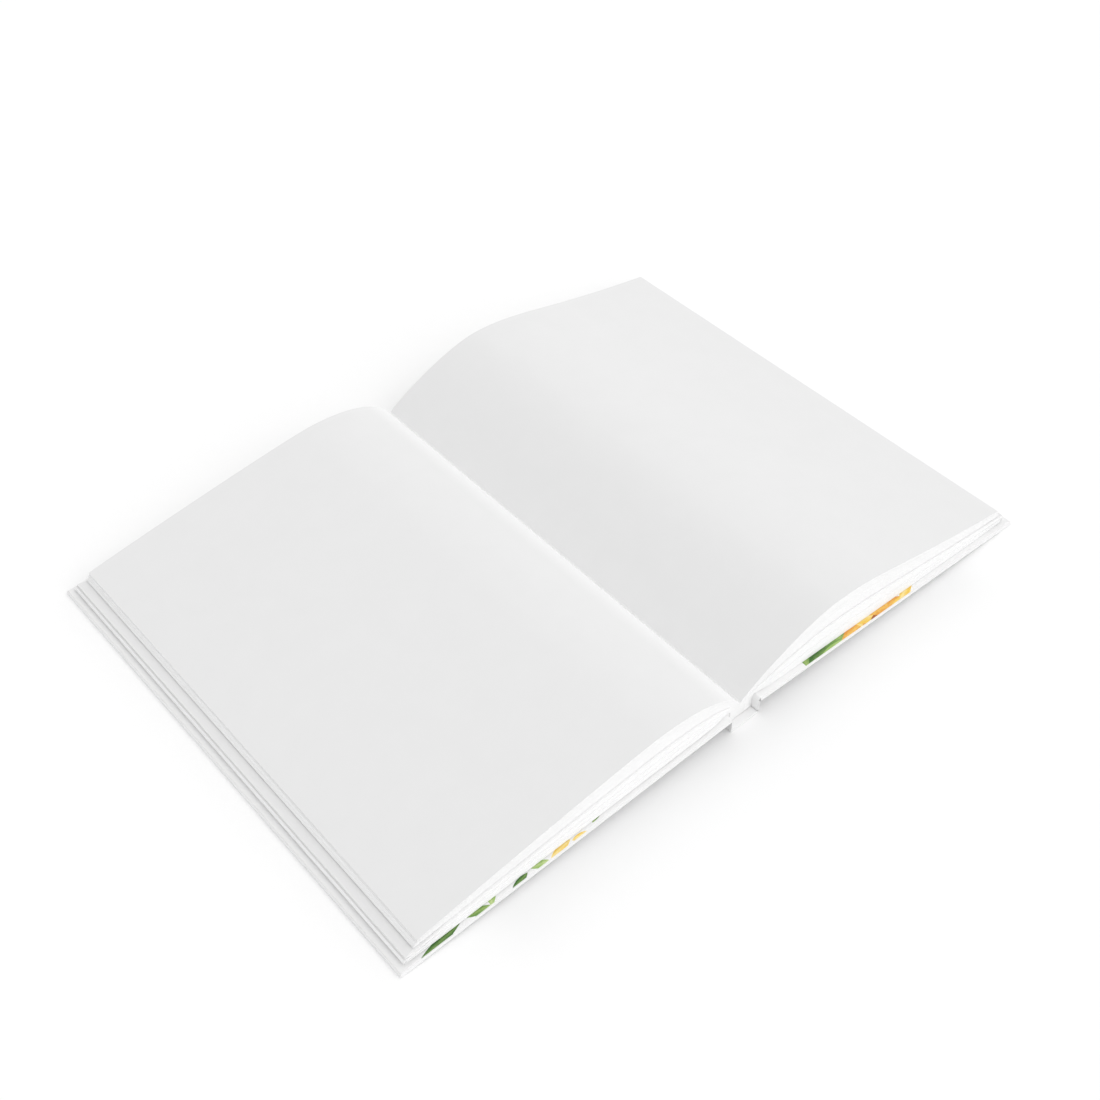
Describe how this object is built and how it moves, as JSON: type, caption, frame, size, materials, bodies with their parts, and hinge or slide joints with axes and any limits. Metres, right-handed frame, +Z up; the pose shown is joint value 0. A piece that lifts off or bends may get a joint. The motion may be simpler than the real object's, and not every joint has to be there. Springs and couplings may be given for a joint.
{
  "type": "open hardcover journal",
  "caption": "Blank hardcover journal lying open at its middle: arched pages, stepped fore edges, hollow spine and thin covers that fold back on their hinge lines.",
  "frame": {"origin": "middle of the spine's outer face, on the table", "axes": "+X across the spread towards the back cover, +Y from the tail to the head of the pages, +Z up from the table"},
  "size_m": [0.29, 0.203, 0.0256],
  "materials": {
    "page_paper": "matte white uncoated paper",
    "endpaper": "matte white heavy paper",
    "printed_endpaper": "matte white paper with a green and yellow print",
    "cover_paper": "white laminated paper, satin",
    "greyboard": "raw grey board",
    "gauze": "glued bookbinding gauze"
  },
  "bodies": {
    "pages_and_spine": {"page_block": "page_paper", "front_flyleaf": "endpaper", "back_flyleaf": "endpaper", "spine_lining": "gauze", "spine_inlay": "greyboard", "spine_wrap": "cover_paper"},
    "front_cover": {"front_board": "greyboard", "front_wrap": "cover_paper", "front_pastedown": "printed_endpaper"},
    "back_cover": {"back_board": "greyboard", "back_wrap": "cover_paper", "back_pastedown": "printed_endpaper"}
  },
  "joints": [
    {"name": "front_cover_hinge", "type": "hinge", "parent": "pages_and_spine", "child": "front_cover", "pos_m": [-0.0067, 0, 0.0055], "axis": [0, -1, 0], "range_deg": [0, 80]},
    {"name": "back_cover_hinge", "type": "hinge", "parent": "pages_and_spine", "child": "back_cover", "pos_m": [0.0067, 0, 0.0055], "axis": [0, 1, 0], "range_deg": [0, 80]}
  ]
}
